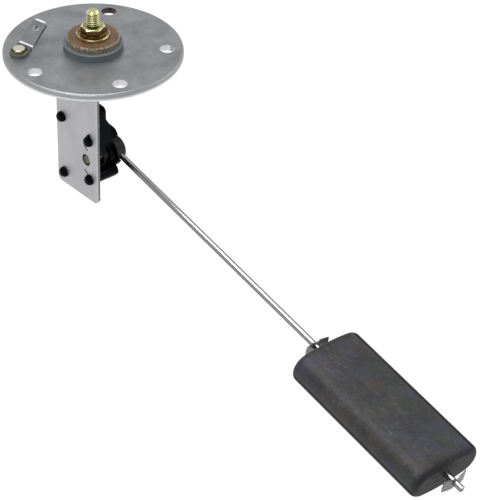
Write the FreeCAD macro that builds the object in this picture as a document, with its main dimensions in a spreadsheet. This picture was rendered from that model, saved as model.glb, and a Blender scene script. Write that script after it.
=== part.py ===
import FreeCAD, Part
import math
import operator
import os
import Sketcher

# Fuel level sender: a round tank flange with an insulated terminal, a bracket below it,
# a moulded resistor housing on the bracket, and a swinging arm that carries the float.
# Origin: centre of the flange's underside. +Z up along the terminal stud, +X the way the arm points.

# Driving sizes, in millimetres and degrees
SIZES = {
    # flange
    "flange_dia": 66.4,
    "flange_thick": 2.4,
    "flange_edge_round": 0.9,
    "bolt_edge": 6.2,
    "bolt_hole_dia": 5.6,
    "bolt_angle_1": -87.3,
    "bolt_angle_2": -15.6,
    "bolt_angle_3": 51.0,
    "bolt_angle_4": 131.3,
    "bolt_angle_5": 194.0,
    # bracket
    "bracket_left": 13.1,
    "bracket_right": 12.0,
    "bracket_below_case": 2.0,
    "bracket_foot_rise": 1.25,
    "sheet_thick": 1.5,
    "plate_face": 8.0,
    "foot_reach": 10.5,
    "bend_round": 1.2,
    "plate_corner": 2.0,
    # terminal stack
    "stud_dia": 4.76,
    "stud_root_dia": 4.1,
    "stud_above": 15.6,
    "stud_chamfer": 0.7,
    "stud_head_bevel": 0.6,
    "stud_slot": 1.2,
    "stud_head_dia": 8.2,
    "stud_head_thick": 2.4,
    "nut_width": 8.0,
    "nut_thick": 3.0,
    "nut_turn": -5.8,
    "nut_face_dia": 7.84,
    "nut_bevel": 0.72,
    "cup_washer_dia": 12.4,
    "cup_washer_thick": 1.25,
    "cup_washer_bevel": 0.4,
    "cup_groove_from": 9.4,
    "cup_groove_to": 11.2,
    "cup_groove_deep": 0.75,
    "insulator_dia": 19.6,
    "insulator_thick": 2.3,
    "insulator_bevel": 0.5,
    "seal_dia": 21.9,
    "seal_thick": 2.85,
    "seal_bevel": 0.4,
    "collar_dia": 8.0,
    "collar_flange_dia": 10.0,
    "collar_flange_thick": 1.6,
    "collar_gap": 0.1,
    "thread_gap": 0.1,
    # ground terminal and its screw
    "ground_edge": 5.9,
    "ground_angle": -116.6,
    "tab_turn": 105.3,
    "tab_thick": 0.8,
    "tab_eye_dia": 7.0,
    "tab_neck_inset": 0.1,
    "tab_bend_at": 6.0,
    "tab_width": 6.3,
    "tab_offset": 1.7,
    "tab_length": 10.9,
    "tab_rise": 35.0,
    "tab_hole_dia": 1.8,
    "tab_hole_from_tip": 4.1,
    "tab_tip_cut": 1.2,
    "ground_head_width": 5.5,
    "ground_head_thick": 1.3,
    "ground_face_dia": 4.25,
    "ground_bevel": 0.7,
    "ground_rim_dia": 6.6,
    "ground_rim_thick": 0.5,
    "ground_shank_dia": 3.4,
    "ground_shank_length": 5.6,
    # pivot and arm
    "pivot_x": 5.3,
    "pivot_drop": 41.2,
    "arm_tilt": 9.9,
    "arm_level": 5.0,
    "pin_dia": 3.5,
    "pin_recess": 0.2,
    "pin_window_dia": 4.8,
    "running_gap": 0.05,
    "seat_gap": 0.03,
    "rod_dia": 2.34,
    "rod_start": 2.05,
    "rod_beyond_float": 7.75,
    "rod_tip_bevel": 0.23,
    # float and its two push nuts
    "float_start": 123.2,
    "float_length": 63.8,
    "float_width": 30.2,
    "float_thick": 14.0,
    "float_side_round": 6.2,
    "float_edge_round": 2.3,
    "push_nut_length": 10.0,
    "push_nut_width": 4.8,
    "push_nut_waist": 3.6,
    "push_nut_thick": 0.4,
    "push_nut_bow": 0.8,
    "push_nut_gap": 3.2,
    # housing
    "case_depth": 8.9,
    "case_wall": 1.4,
    "case_base": 3.1,
    "case_radius": 15.8,
    "case_half_angle": 58.0,
    "case_left": -12.2,
    "case_right": 12.0,
    "case_foot_below": 16.2,
    "case_shoulder_above": 14.0,
    "tongue_left": -7.6,
    "tongue_drop": 16.5,
    "tongue_round": 1.8,
    "ear_round": 2.6,
    "window_above": 4.2,
    "window_below": 3.7,
    "upper_boss_dia": 5.6,
    "upper_boss_aside": 1.2,
    "upper_boss_up": 0.2,
    "lower_boss_dia": 4.5,
    "lower_boss_step": 1.75,
    "gusset_above_boss": 10.2,
    "gusset_slope": 4.1,
    "gusset_depth": 2.2,
    "gusset_width": 3.8,
    "bearing_dia": 8.6,
    "bearing_length": 2.2,
    "peg_1_in": 2.5,
    "peg_1_down": 2.2,
    "peg_2_in": 3.3,
    "peg_2_up": 3.3,
    "peg_3_x": 7.4,
    "peg_3_above": 9.5,
    "peg_4_x": 7.6,
    "peg_4_below": 7.7,
    "peg_dia": 2.6,
    "peg_gap": 0.1,
    "peg_head_dia": 4.2,
    "peg_head_thick": 2.1,
    "peg_head_bevel": 1.05,
    "peg_head_ease": 0.45,
    # resistor card and winding, on an arc about the pivot
    "card_radius": 13.25,
    "card_thick": 0.6,
    "card_depth": 4.8,
    "card_half_angle": 55.5,
    "card_front": 1.1,
    "post_dia": 2.6,
    "post_half_angle": 54.5,
    "wire_cover": 0.3,
    "wire_half_angle": 46.5,
    # wiper, clip and ground spring
    "wiper_thick": 0.35,
    "wiper_eye_dia": 6.6,
    "wiper_width": 1.6,
    "wiper_gap": 0.15,
    "clip_thick": 0.5,
    "clip_dia": 5.8,
    "clip_groove_dia": 2.6,
    "spring_thick": 0.35,
    "spring_width": 5.6,
    "tab_thin": 0.5,
    "tab_wide": 2.2,
    "tab_slant": -37.0,
    "spring_reach": 5.4,
    "spring_crown": 2.6,
    # rotor
    "hub_dia": 9.4,
    "hub_flange_dia": 12.0,
    "hub_flange_thick": 1.5,
    "hub_depth": 4.8,
    "hub_bevel": 0.4,
    "hub_gap": 0.3,
    # lead strip from the stud to the winding
    "lead_thick": 0.5,
    "lead_width": 2.8,
    "lead_x": -5.4,
    "lead_face": 4.5,
    "lead_eye_dia": 8.6,
    "lead_end_above": 10.1,
}

OPERATIONS = {"+": operator.add, "-": operator.sub, "*": operator.mul, "/": operator.truediv}
SIDE = {"XY_Plane": 1, "XZ_Plane": -1, "YZ_Plane": 1}


class Size:
    """A number together with the formula that gives it in the spreadsheet."""

    def __init__(self, number, formula):
        self.number = number
        self.formula = formula

    def __add__(self, other):
        return combined(self, "+", other)

    def __radd__(self, other):
        return combined(other, "+", self)

    def __sub__(self, other):
        return combined(self, "-", other)

    def __rsub__(self, other):
        return combined(other, "-", self)

    def __mul__(self, other):
        return combined(self, "*", other)

    def __rmul__(self, other):
        return combined(other, "*", self)

    def __truediv__(self, other):
        return combined(self, "/", other)

    def __neg__(self):
        return combined(-1, "*", self)


class Sheet:
    """Gives each cell of the spreadsheet as a Size, by its alias."""

    def __getattr__(self, alias):
        return Size(float(sheet.get(alias)), "Sizes." + alias)


def as_size(value):
    return value if isinstance(value, Size) else Size(float(value), repr(value))


def combined(left, sign, right):
    left, right = as_size(left), as_size(right)
    number = OPERATIONS[sign](left.number, right.number)
    return Size(number, "(%s %s %s)" % (left.formula, sign, right.formula))


def cosine(angle):
    angle = as_size(angle)
    return Size(math.cos(math.radians(angle.number)), "cos(%s * 1 deg)" % angle.formula)


def sine(angle):
    angle = as_size(angle)
    return Size(math.sin(math.radians(angle.number)), "sin(%s * 1 deg)" % angle.formula)


def around(centre, radius, angle):
    """The point at an angle and a radius about a centre."""
    return centre[0] + radius * cosine(angle), centre[1] + radius * sine(angle)


def bind(item, path, value):
    item.setExpression(path, as_size(value).formula)


def new_body(name):
    body = doc.addObject("PartDesign::Body", name)
    body.Label = name
    pieces.append(body)
    return body


def put_on_arm(piece):
    """Places a piece that was drawn about the pivot, with the arm along +X."""
    turn = FreeCAD.Rotation(FreeCAD.Vector(0, 1, 0), size.arm_tilt.number)
    piece.Placement = FreeCAD.Placement(FreeCAD.Vector(), turn)
    bind(piece, "Placement.Base.x", size.pivot_x)
    bind(piece, "Placement.Base.z", -size.pivot_drop)
    bind(piece, "Placement.Rotation.Angle", size.arm_tilt)


def new_sketch(body, role, level=0):
    """An empty sketch parallel to one of the body's own planes, at a level along its axis."""
    sketch = body.newObject("Sketcher::SketchObject", body.Name + "_sketch")
    plane = next(item for item in body.Origin.OriginFeatures if item.Role == role)
    sketch.AttachmentSupport = [(plane, "")]
    sketch.MapMode = "FlatFace"
    bind(sketch, "AttachmentOffset.Base.z", SIDE[role] * as_size(level))
    roles[sketch.Name] = role
    return sketch


def constrain(sketch, kind, *parts):
    return sketch.addConstraint(Sketcher.Constraint(kind, *parts))


def lock(sketch, curve, end, place):
    """Holds one point of a curve at a place, by its two coordinates."""
    for kind, value in zip(("DistanceX", "DistanceY"), place):
        value = as_size(value)
        row = constrain(sketch, kind, -1, 1, curve, end, value.number)
        bind(sketch, "Constraints[%d]" % row, value)


def add_circle(sketch, centre, radius):
    radius = as_size(radius)
    spot = FreeCAD.Vector(as_size(centre[0]).number, as_size(centre[1]).number, 0)
    curve = sketch.addGeometry(Part.Circle(spot, FreeCAD.Vector(0, 0, 1), radius.number))
    lock(sketch, curve, 3, centre)
    row = constrain(sketch, "Radius", curve, radius.number)
    bind(sketch, "Constraints[%d]" % row, radius)


def add_outline(sketch, corners, arcs=None):
    """A closed outline. arcs gives, for a side, its radius and the point it bulges about."""
    arcs = arcs or {}
    spots = [FreeCAD.Vector(as_size(x).number, as_size(y).number, 0) for x, y in corners]
    ends = []
    for side, start in enumerate(spots):
        finish = spots[(side + 1) % len(spots)]
        if side not in arcs:
            curve = sketch.addGeometry(Part.LineSegment(start, finish))
            ends.append((curve, 1, 2))
            continue
        radius, middle = arcs[side]
        middle = FreeCAD.Vector(as_size(middle[0]).number, as_size(middle[1]).number, 0)
        left = (start - middle).cross(finish - middle).z > 0
        first, last = (start, finish) if left else (finish, start)
        angles = [math.atan2(spot.y - middle.y, spot.x - middle.x) for spot in (first, last)]
        ring = Part.Circle(middle, FreeCAD.Vector(0, 0, 1), radius.number)
        curve = sketch.addGeometry(Part.ArcOfCircle(ring, angles[0], angles[1]))
        ends.append((curve, 1, 2) if left else (curve, 2, 1))
    for side, (curve, first, last) in enumerate(ends):
        following = ends[(side + 1) % len(ends)]
        constrain(sketch, "Coincident", curve, last, following[0], following[1])
        lock(sketch, curve, first, corners[side])
        if side in arcs:
            row = constrain(sketch, "Radius", curve, arcs[side][0].number)
            bind(sketch, "Constraints[%d]" % row, arcs[side][0])


def add_box(sketch, low, high):
    add_outline(sketch, [low, (high[0], low[1]), high, (low[0], high[1])])


def pad(body, sketch, length, toward=1, both_ways=False):
    """Thickens a sketch along its axis, up (1) or down (-1), or half each way."""
    feature = body.newObject("PartDesign::Pad", body.Name + "_pad")
    feature.Profile = sketch
    bind(feature, "Length", length)
    feature.Midplane = both_ways
    feature.Reversed = SIDE[roles[sketch.Name]] * toward < 0 and not both_ways
    sketch.Visibility = False
    return feature


def pocket(body, sketch, length, toward=1, both_ways=False):
    """Cuts a sketch out of the body along its axis, and makes sure that it did cut."""
    doc.recompute()
    before = body.Shape.Volume
    feature = body.newObject("PartDesign::Pocket", body.Name + "_pocket")
    feature.Profile = sketch
    bind(feature, "Length", length)
    feature.Midplane = both_ways
    feature.Reversed = SIDE[roles[sketch.Name]] * toward > 0 and not both_ways
    sketch.Visibility = False
    doc.recompute()
    if not body.Shape.Volume < before:
        raise RuntimeError("a pocket cut nothing in " + body.Label)
    return feature


def spin(body, sketch, kind="PartDesign::Revolution"):
    """Turns a sketch about its own vertical axis."""
    feature = body.newObject(kind, body.Name + "_turned")
    feature.Profile = sketch
    feature.ReferenceAxis = (sketch, ["V_Axis"])
    feature.Angle = 360
    sketch.Visibility = False
    return feature


def edges_where(body, test):
    doc.recompute()
    shape = body.Tip.Shape
    return ["Edge%d" % number for number, edge in enumerate(shape.Edges, 1) if test(edge)]


def ease(body, radius, test, kind="PartDesign::Fillet"):
    """Rounds, or chamfers, the edges that pass a test."""
    names = edges_where(body, test)
    base = body.Tip
    feature = body.newObject(kind, body.Name + "_eased")
    feature.Base = (base, names)
    bind(feature, "Radius" if kind.endswith("Fillet") else "Size", radius)
    return feature


def rings_at(axis, level):
    """A test for round edges that lie at one level along an axis."""
    def test(edge):
        box = edge.BoundBox
        low, high = getattr(box, axis + "Min"), getattr(box, axis + "Max")
        return isinstance(edge.Curve, Part.Circle) and abs(low - level) + abs(high - level) < 0.01
    return test


def bevel_twice(body, axis, level, inward, wide, fine):
    """Turns a round end edge off in three steps: one wide bevel, then its own two edges."""
    level = as_size(level)
    ease(body, wide, rings_at(axis, level.number), "PartDesign::Chamfer")
    lower = rings_at(axis, (level + inward * wide).number)
    upper = rings_at(axis, level.number)
    ease(body, fine, lambda edge: lower(edge) or upper(edge), "PartDesign::Chamfer")


def straight_at(axis, places):
    """A test for straight edges along an axis that pass through one of some places."""
    others = [name for name in "XYZ" if name != axis]

    def test(edge):
        box = edge.BoundBox
        if not isinstance(edge.Curve, Part.Line):
            return False
        middle = [(getattr(box, name + "Min") + getattr(box, name + "Max")) / 2 for name in others]
        spread = [getattr(box, name + "Max") - getattr(box, name + "Min") for name in others]
        return max(spread) < 0.01 and any(
            abs(middle[0] - place[0]) + abs(middle[1] - place[1]) < 0.02 for place in places
        )
    return test


def numbers(*values):
    return tuple(as_size(value).number for value in values)


doc = FreeCAD.newDocument("fuel_level_sender")
sheet = doc.addObject("Spreadsheet::Sheet", "Sizes")
for line, (alias, amount) in enumerate(SIZES.items(), 1):
    sheet.set("A%d" % line, alias)
    sheet.set("B%d" % line, str(amount))
    sheet.setAlias("B%d" % line, alias)
doc.recompute()

size = Sheet()
pieces = []
roles = {}

# Places that several pieces share
flange_top = size.flange_thick
foot_under = -size.sheet_thick
plate_front = -size.plate_face
plate_back = plate_front + size.sheet_thick
pivot = (size.pivot_x, -size.pivot_drop)
case_front = plate_back + size.case_depth
case_inside = case_front - size.case_wall
pin_radius = size.pin_dia / 2
rod_radius = size.rod_dia / 2
stud_radius = size.stud_dia / 2
stud_root = size.stud_root_dia / 2
bearing_back = case_front - size.bearing_length
wiper_front = bearing_back - size.wiper_gap
wiper_back = wiper_front - size.wiper_thick
clip_front = wiper_back - size.seat_gap
clip_back = clip_front - size.clip_thick
hub_back = case_front + size.hub_gap
hub_front = hub_back + size.hub_depth
card_front_level = case_inside - size.card_front - size.wiper_thick - size.wiper_gap
card_back_level = card_front_level - size.card_depth
wire_front_level = card_front_level + size.wire_cover
wire_back_level = card_back_level - size.wire_cover
shoulder = pivot[1] + size.case_shoulder_above
case_foot = pivot[1] - size.case_foot_below
bracket_foot = case_foot - size.bracket_below_case
pegs = [
    (size.case_left + size.peg_1_in, shoulder - size.peg_1_down),
    (size.case_left + size.peg_2_in, case_foot + size.peg_2_up),
    (size.peg_3_x, pivot[1] + size.peg_3_above),
    (size.peg_4_x, pivot[1] - size.peg_4_below),
]
spring_feet = [pivot[1] + size.spring_reach, pivot[1] - size.spring_reach]
collar_bottom = foot_under - size.collar_flange_thick
lead_bottom = collar_bottom - size.lead_thick
lead_plane = -size.lead_face
lead_left = size.lead_x - size.lead_width / 2
lead_right = size.lead_x + size.lead_width / 2
lead_end = pivot[1] + size.lead_end_above
seal_top = flange_top + size.seal_thick
insulator_top = seal_top + size.insulator_thick
washer_top = insulator_top + size.cup_washer_thick
nut_top = washer_top + size.nut_thick
ground_place = around((0, 0), size.flange_dia / 2 - size.ground_edge, size.ground_angle)
float_end = size.float_start + size.float_length
rod_end = float_end + size.rod_beyond_float


def flange_plate():
    """Blanked aluminium disc with a rolled top edge, five screw holes and the stud's hole."""
    body = new_body("flange_plate")
    blank = new_sketch(body, "XY_Plane")
    add_circle(blank, (0, 0), size.flange_dia / 2)
    pad(body, blank, size.flange_thick)
    bevel_twice(body, "Z", flange_top, -1, size.flange_edge_round * 0.75, size.flange_edge_round / 4)
    holes = new_sketch(body, "XY_Plane")
    bolt_radius = size.flange_dia / 2 - size.bolt_edge
    for number in range(1, 6):
        angle = getattr(size, "bolt_angle_%d" % number)
        add_circle(holes, around((0, 0), bolt_radius, angle), size.bolt_hole_dia / 2)
    add_circle(holes, (0, 0), size.collar_dia / 2 + size.collar_gap)
    add_circle(holes, ground_place, size.ground_shank_dia / 2 + size.seat_gap)
    pocket(body, holes, size.flange_thick)


def slanted_box(centre, margin):
    """The corners of a ground spring's tab, or of its slot with a margin all round."""
    along, across = size.tab_wide / 2 + margin, size.tab_thin / 2 + margin
    corners = []
    for far, side in ((-1, -1), (1, -1), (1, 1), (-1, 1)):
        end = around(centre, far * along, size.tab_slant)
        corners.append(around(end, side * across, size.tab_slant + 90))
    return corners


def bracket_plate():
    """One bent strip of aluminium: a foot under the flange and the upright plate."""
    body = new_body("bracket_plate")
    side = new_sketch(body, "YZ_Plane", -size.bracket_left)
    add_outline(side, [
        (plate_front, bracket_foot),
        (plate_front, 0),
        (size.foot_reach, 0),
        (size.foot_reach, foot_under),
        (plate_back, foot_under),
        (plate_back, bracket_foot),
    ])
    pad(body, side, size.bracket_left + size.bracket_right)
    ease(body, size.bend_round, straight_at("X", [numbers(plate_back, foot_under)]))
    ease(body, size.bend_round + size.sheet_thick, straight_at("X", [numbers(plate_front, 0)]))
    low = [(-size.bracket_left, bracket_foot)]
    low.append((size.bracket_right, bracket_foot + size.bracket_foot_rise))
    slant = new_sketch(body, "XZ_Plane", plate_front)
    add_outline(slant, [low[0], (size.bracket_right, bracket_foot), low[1]])
    pocket(body, slant, size.sheet_thick)
    ease(body, size.plate_corner, straight_at("Y", [numbers(*corner) for corner in low]))
    sides = (size.bracket_right, -size.bracket_left)
    far = [numbers(place, size.foot_reach) for place in sides]
    ease(body, size.plate_corner, straight_at("Z", far))
    holes = new_sketch(body, "XZ_Plane", plate_front)
    for place in pegs:
        add_circle(holes, place, size.peg_dia / 2 + size.peg_gap)
    add_circle(holes, pivot, size.pin_window_dia / 2)
    for foot in spring_feet:
        add_outline(holes, slanted_box((pivot[0], foot), size.peg_gap))
    pocket(body, holes, size.sheet_thick)
    stud_hole = new_sketch(body, "XY_Plane", foot_under)
    add_circle(stud_hole, (0, 0), size.collar_dia / 2 + size.collar_gap)
    pocket(body, stud_hole, size.sheet_thick)


def ring(name, outer_radius, inner_radius, level, thick):
    """A flat round washer with its hole."""
    body = new_body(name)
    face = new_sketch(body, "XY_Plane", level)
    add_circle(face, (0, 0), outer_radius)
    add_circle(face, (0, 0), inner_radius)
    pad(body, face, thick)
    return body


def terminal_stack():
    """The washers on the stud, from the flange up, and the shouldered insulator below."""
    loose_hole = stud_radius + size.thread_gap
    seal = ring("stud_seal", size.seal_dia / 2, loose_hole, flange_top, size.seal_thick)
    ease(seal, size.seal_bevel, rings_at("Z", seal_top.number), "PartDesign::Chamfer")
    insulator = ring("insulating_washer", size.insulator_dia / 2, loose_hole, seal_top,
                     size.insulator_thick)
    ease(insulator, size.insulator_bevel, rings_at("Z", insulator_top.number), "PartDesign::Chamfer")
    washer = ring("terminal_washer", size.cup_washer_dia / 2, loose_hole, insulator_top,
                  size.cup_washer_thick)
    ease(washer, size.cup_washer_bevel, rings_at("Z", washer_top.number), "PartDesign::Chamfer")
    groove = new_sketch(washer, "XY_Plane", washer_top - size.cup_groove_deep)
    add_circle(groove, (0, 0), size.cup_groove_from / 2)
    add_circle(groove, (0, 0), size.cup_groove_to / 2)
    pocket(washer, groove, size.cup_groove_deep)
    collar = ring("lower_insulator", size.collar_flange_dia / 2, loose_hole, collar_bottom,
                  size.collar_flange_thick)
    neck = new_sketch(collar, "XY_Plane", foot_under)
    add_circle(neck, (0, 0), size.collar_dia / 2)
    add_circle(neck, (0, 0), loose_hole)
    pad(collar, neck, size.sheet_thick + size.flange_thick - size.collar_gap)


def hexagon(centre, width, turn):
    """The corners of a hexagon, from its width across the flats."""
    reach = width / 2 / cosine(30)
    return [around(centre, reach, turn + 60 * corner) for corner in range(6)]


def bevel_top(body, width, top, face_dia, slope):
    """Turns the corners of a hexagon off at its top, down to a round face."""
    cut = new_sketch(body, "XZ_Plane")
    reach = width / 2 / cosine(30) * 1.05
    add_outline(cut, [
        (face_dia / 2, top),
        (reach, top),
        (reach, top - slope),
    ])
    spin(body, cut, "PartDesign::Groove")


def terminal_nut():
    body = new_body("terminal_nut")
    face = new_sketch(body, "XY_Plane", washer_top)
    add_outline(face, hexagon((0, 0), size.nut_width, size.nut_turn))
    add_circle(face, (0, 0), stud_root + size.seat_gap)
    pad(body, face, size.nut_thick)
    bevel_top(body, size.nut_width, nut_top, size.nut_face_dia, size.nut_bevel)


def terminal_stud():
    """Brass screw, put in from below. Inside the nut it has its thread's root size."""
    body = new_body("terminal_stud")
    side = new_sketch(body, "XZ_Plane")
    tip = flange_top + size.stud_above
    head_low = lead_bottom - size.stud_head_thick
    add_outline(side, [
        (0, head_low),
        (size.stud_head_dia / 2, head_low),
        (size.stud_head_dia / 2, lead_bottom),
        (stud_root, lead_bottom),
        (stud_root, nut_top + size.thread_gap),
        (stud_radius, nut_top + size.thread_gap),
        (stud_radius, tip - size.stud_chamfer),
        (stud_radius - size.stud_chamfer, tip),
        (0, tip),
    ])
    spin(body, side)
    ease(body, size.stud_head_bevel, rings_at("Z", head_low.number), "PartDesign::Chamfer")
    slot = new_sketch(body, "XY_Plane", head_low)
    add_box(slot, (-size.stud_head_dia, -size.stud_slot / 2), (size.stud_head_dia, size.stud_slot / 2))
    pocket(body, slot, size.stud_head_thick / 2)


def ground_terminal():
    """Spade terminal: an eye under the ground screw and a blade bent up from it."""
    body = new_body("ground_terminal")
    eye = new_sketch(body, "XY_Plane")
    add_circle(eye, (0, 0), size.tab_eye_dia / 2)
    pad(body, eye, size.tab_thick)
    low_side = size.tab_offset - size.tab_width / 2
    high_side = size.tab_offset + size.tab_width / 2
    neck = new_sketch(body, "XY_Plane")
    add_outline(neck, [
        (0, size.tab_neck_inset - size.tab_eye_dia / 2),
        (size.tab_bend_at, low_side),
        (size.tab_bend_at, high_side),
        (0, size.tab_eye_dia / 2 - size.tab_neck_inset),
    ])
    pad(body, neck, size.tab_thick)
    blade = new_sketch(body, "XZ_Plane", size.tab_offset)
    run, climb = size.tab_length * cosine(size.tab_rise), size.tab_length * sine(size.tab_rise)
    back, lift = size.tab_thick * sine(size.tab_rise), size.tab_thick * cosine(size.tab_rise)
    crease = size.tab_thick * sine(size.tab_rise) / (1 + cosine(size.tab_rise))
    start = size.tab_bend_at
    overlap = start - size.tab_thick
    add_outline(blade, [
        (overlap, 0),
        (start + crease, 0),
        (start + crease + run, climb),
        (start + crease + run - back, climb + lift),
        (start, size.tab_thick),
        (overlap, size.tab_thick),
    ])
    pad(body, blade, size.tab_width, both_ways=True)
    tip = (start + crease + run - back / 2, climb + lift / 2)

    def at_tip(edge):
        spot = edge.CenterOfMass
        gap = math.hypot(spot.x - tip[0].number, spot.z - tip[1].number)
        return gap < size.tab_thick.number / 4 and edge.Length < 1.2 * size.tab_thick.number
    ease(body, size.tab_tip_cut, at_tip, "PartDesign::Chamfer")
    hole_at = start + crease + run - size.tab_hole_from_tip * cosine(size.tab_rise)
    hole = new_sketch(body, "XY_Plane")
    add_circle(hole, (hole_at, size.tab_offset), size.tab_hole_dia / 2)
    add_circle(hole, (0, 0), size.ground_shank_dia / 2 + size.seat_gap)
    pocket(body, hole, size.tab_length + size.tab_thick)
    turn = FreeCAD.Rotation(FreeCAD.Vector(0, 0, 1), size.tab_turn.number)
    body.Placement = FreeCAD.Placement(FreeCAD.Vector(), turn)
    bind(body, "Placement.Base.x", ground_place[0])
    bind(body, "Placement.Base.y", ground_place[1])
    bind(body, "Placement.Base.z", flange_top)
    bind(body, "Placement.Rotation.Angle", size.tab_turn)


def ground_screw():
    """Small hex washer-head screw that clamps the ground terminal to the flange."""
    body = new_body("ground_screw")
    side = new_sketch(body, "XZ_Plane")
    shank = size.ground_shank_dia / 2
    under = size.tab_thick - size.ground_shank_length
    add_outline(side, [
        (0, under),
        (shank * 0.6, under),
        (shank, under + shank * 0.7),
        (shank, size.tab_thick),
        (size.ground_rim_dia / 2, size.tab_thick),
        (size.ground_rim_dia / 2, size.tab_thick + size.ground_rim_thick),
        (0, size.tab_thick + size.ground_rim_thick),
    ])
    spin(body, side)
    face = new_sketch(body, "XY_Plane", size.tab_thick)
    add_outline(face, hexagon((0, 0), size.ground_head_width, size.nut_turn))
    pad(body, face, size.ground_rim_thick + size.ground_head_thick)
    top = size.tab_thick + size.ground_rim_thick + size.ground_head_thick
    bevel_top(body, size.ground_head_width, top, size.ground_face_dia, size.ground_bevel)
    bind(body, "Placement.Base.x", ground_place[0])
    bind(body, "Placement.Base.y", ground_place[1])
    bind(body, "Placement.Base.z", flange_top)


def lead_strip():
    """Brass strip from the stud's head down the bracket and into the housing."""
    body = new_body("lead_strip")
    eye = new_sketch(body, "XY_Plane", lead_bottom)
    add_circle(eye, (0, 0), size.lead_eye_dia / 2)
    pad(body, eye, size.lead_thick)
    neck = new_sketch(body, "XY_Plane", lead_bottom)
    reach = size.lead_eye_dia / 2 * 0.7
    add_outline(neck, [
        (lead_left, lead_plane - size.lead_thick),
        (lead_right, lead_plane - size.lead_thick),
        (reach, -reach),
        (-reach, reach),
        (lead_left, lead_plane + size.lead_width / 2),
    ])
    pad(body, neck, size.lead_thick)
    leg = new_sketch(body, "XY_Plane", lead_end)
    add_box(leg, (lead_left, lead_plane - size.lead_thick), (lead_right, lead_plane))
    pad(body, leg, lead_bottom + size.lead_thick - lead_end)
    hole = new_sketch(body, "XY_Plane", lead_bottom)
    add_circle(hole, (0, 0), stud_radius + size.thread_gap)
    pocket(body, hole, size.lead_thick)


def fan(radius, half_angle):
    """The two ends of an arc about the pivot, on the side away from the arm."""
    return around(pivot, radius, 180 - half_angle), around(pivot, radius, 180 + half_angle)


def add_arc_strip(sketch, inner, outer, half_angle):
    """A strip that follows an arc about the pivot."""
    inner_top, inner_low = fan(inner, half_angle)
    outer_top, outer_low = fan(outer, half_angle)
    corners = [inner_top, outer_top, outer_low, inner_low]
    add_outline(sketch, corners, {1: (outer, pivot), 3: (inner, pivot)})


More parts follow.
